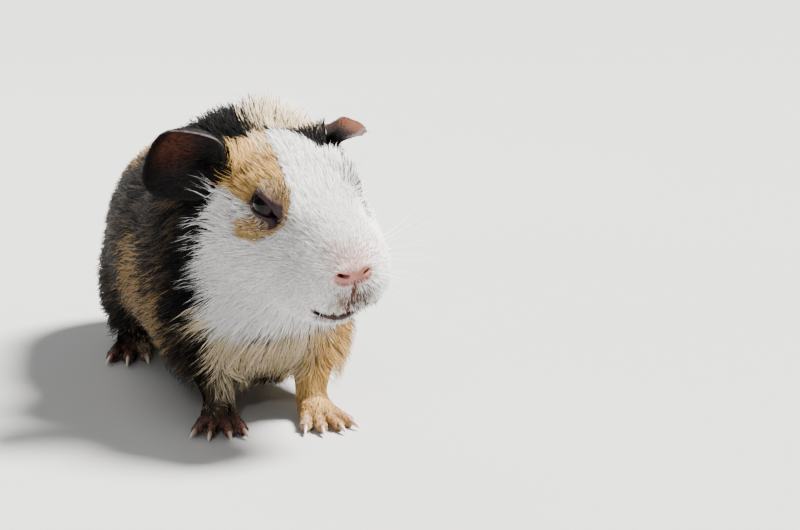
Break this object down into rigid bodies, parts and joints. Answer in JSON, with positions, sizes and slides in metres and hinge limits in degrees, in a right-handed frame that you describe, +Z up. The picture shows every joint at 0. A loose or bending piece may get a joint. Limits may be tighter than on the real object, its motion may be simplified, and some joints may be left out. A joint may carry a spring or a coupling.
{
  "type": "guinea pig",
  "caption": "Smooth-coated tricolour guinea pig at life size, standing on all fours with its head lowered and turned to its left.",
  "frame": {"origin": "on the floor, under the middle of the outline", "axes": "+Z up, the animal faces -Y, its right side is -X"},
  "size_m": [0.0922, 0.2279, 0.1073],
  "materials": {
    "coat": "short straight glossy fur in black, brown, tan and cream",
    "white_coat": "short straight glossy white fur with a tan patch round the eye",
    "ear_skin": "bare thin skin, dark reddish brown, that lets some light through",
    "nose_skin": "bare moist pink skin under very fine hair",
    "foot_skin": "bare pinkish brown skin with thin hair on top",
    "claw": "pale smooth horn",
    "eye": "wet, very dark brown, almost black"
  },
  "bodies": {
    "root": {"hindleg_right": "coat", "hindleg_left": "coat", "nose": "nose_skin", "lower_jaw": "white_coat", "head": "white_coat", "neck": "coat", "chest": "coat", "belly": "coat", "rump": "coat", "eye_right": "eye", "ear_right": "ear_skin", "eye_left": "eye", "ear_left": "ear_skin", "foreleg_right": "coat", "forefoot_right": "foot_skin", "hindfoot_right": "foot_skin", "claw_fore_right_1": "claw", "claw_fore_right_2": "claw", "claw_fore_right_3": "claw", "claw_fore_right_4": "claw", "claw_hind_right_1": "claw", "claw_hind_right_2": "claw", "claw_hind_right_3": "claw", "foreleg_left": "coat", "forefoot_left": "foot_skin", "hindfoot_left": "foot_skin", "claw_fore_left_1": "claw", "claw_fore_left_2": "claw", "claw_fore_left_3": "claw", "claw_fore_left_4": "claw", "claw_hind_left_1": "claw", "claw_hind_left_2": "claw", "claw_hind_left_3": "claw"}
  },
  "joints": []
}
